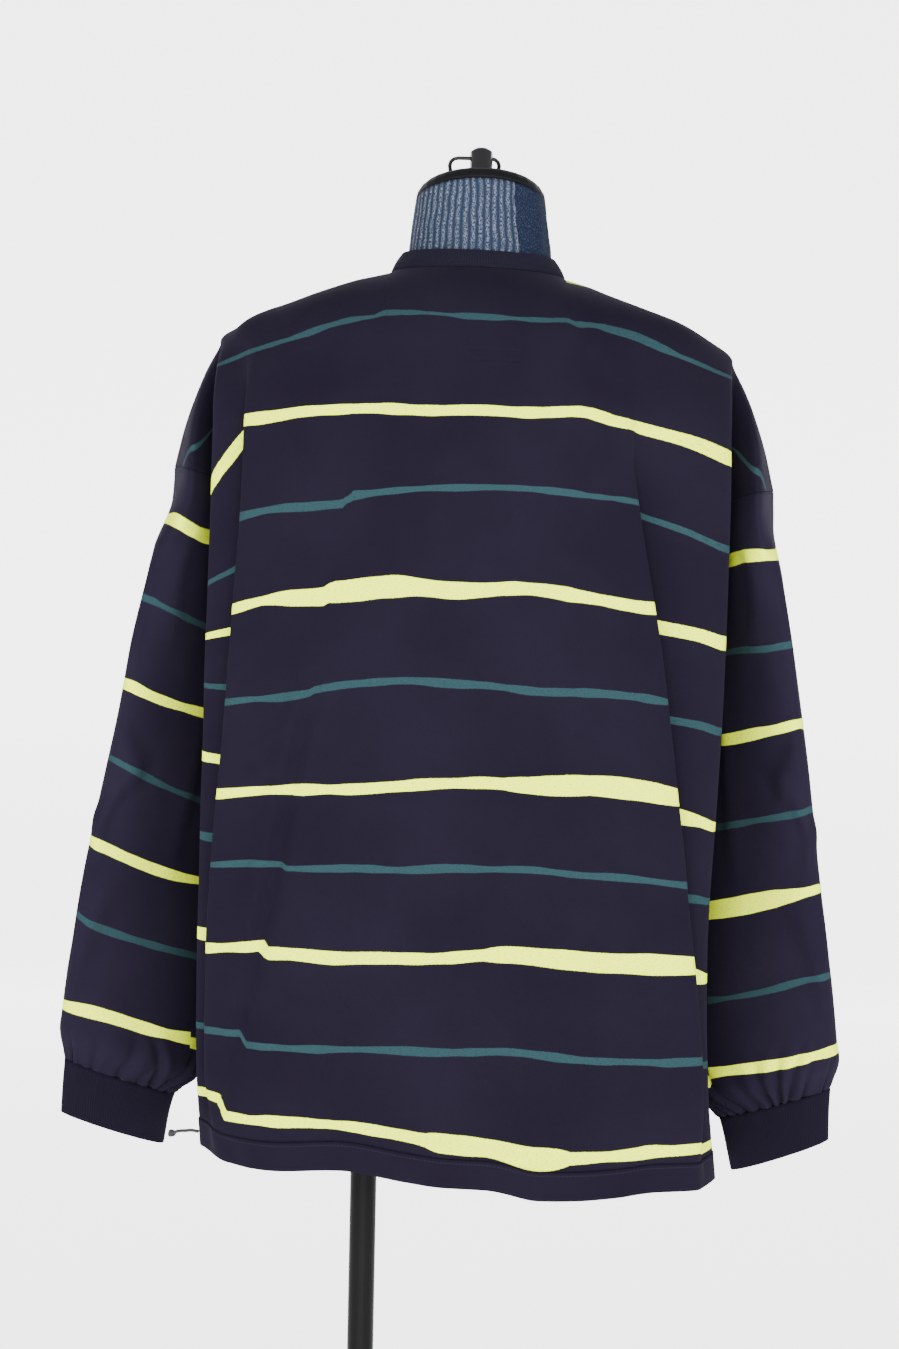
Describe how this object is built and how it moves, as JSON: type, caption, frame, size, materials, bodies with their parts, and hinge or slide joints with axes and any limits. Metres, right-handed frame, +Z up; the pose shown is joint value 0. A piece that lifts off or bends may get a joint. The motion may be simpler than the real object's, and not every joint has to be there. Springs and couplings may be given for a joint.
{
  "type": "long-sleeve t-shirt on a limbless dress form with a stand",
  "caption": "Oversized striped long-sleeve crew-neck t-shirt worn by a limbless dress form on a pole with a round floor plate.",
  "frame": {"origin": "centre of the floor plate's underside, on the pole's axis", "axes": "+Z up, +Y the way the wearer faces, +X towards the wearer's right sleeve"},
  "size_m": [0.6821, 0.4, 1.5703],
  "materials": {
    "jersey": "matt cotton jersey, striped pale yellow and teal",
    "rib": "matt ribbed cotton",
    "cord": "matt braided cord",
    "form": "matt black covering",
    "patchwork": "matt indigo patchwork with pale stitches",
    "black_paint": "satin black paint",
    "wire": "dark wire"
  },
  "bodies": {
    "shirt_and_form": {"back": "jersey", "front": "jersey", "sleeve_left": "jersey", "sleeve_right": "jersey", "hem_casing": "jersey", "collar_rib": "rib", "cuff_left": "rib", "cuff_right": "rib", "drawcord": "cord", "drawcord_knot": "cord", "form_torso": "form", "neck_cover": "patchwork", "neck_cap": "black_paint", "knob": "black_paint", "socket": "black_paint", "pole": "black_paint", "pole_foot": "black_paint", "floor_plate": "black_paint"},
    "ring": {"hang_ring": "wire"}
  },
  "joints": [
    {"name": "ring_swing", "type": "hinge", "parent": "shirt_and_form", "child": "ring", "pos_m": [0.086, 0.01185, 1.56134], "axis": [1, 0, 0], "range_deg": [0, 250]}
  ]
}
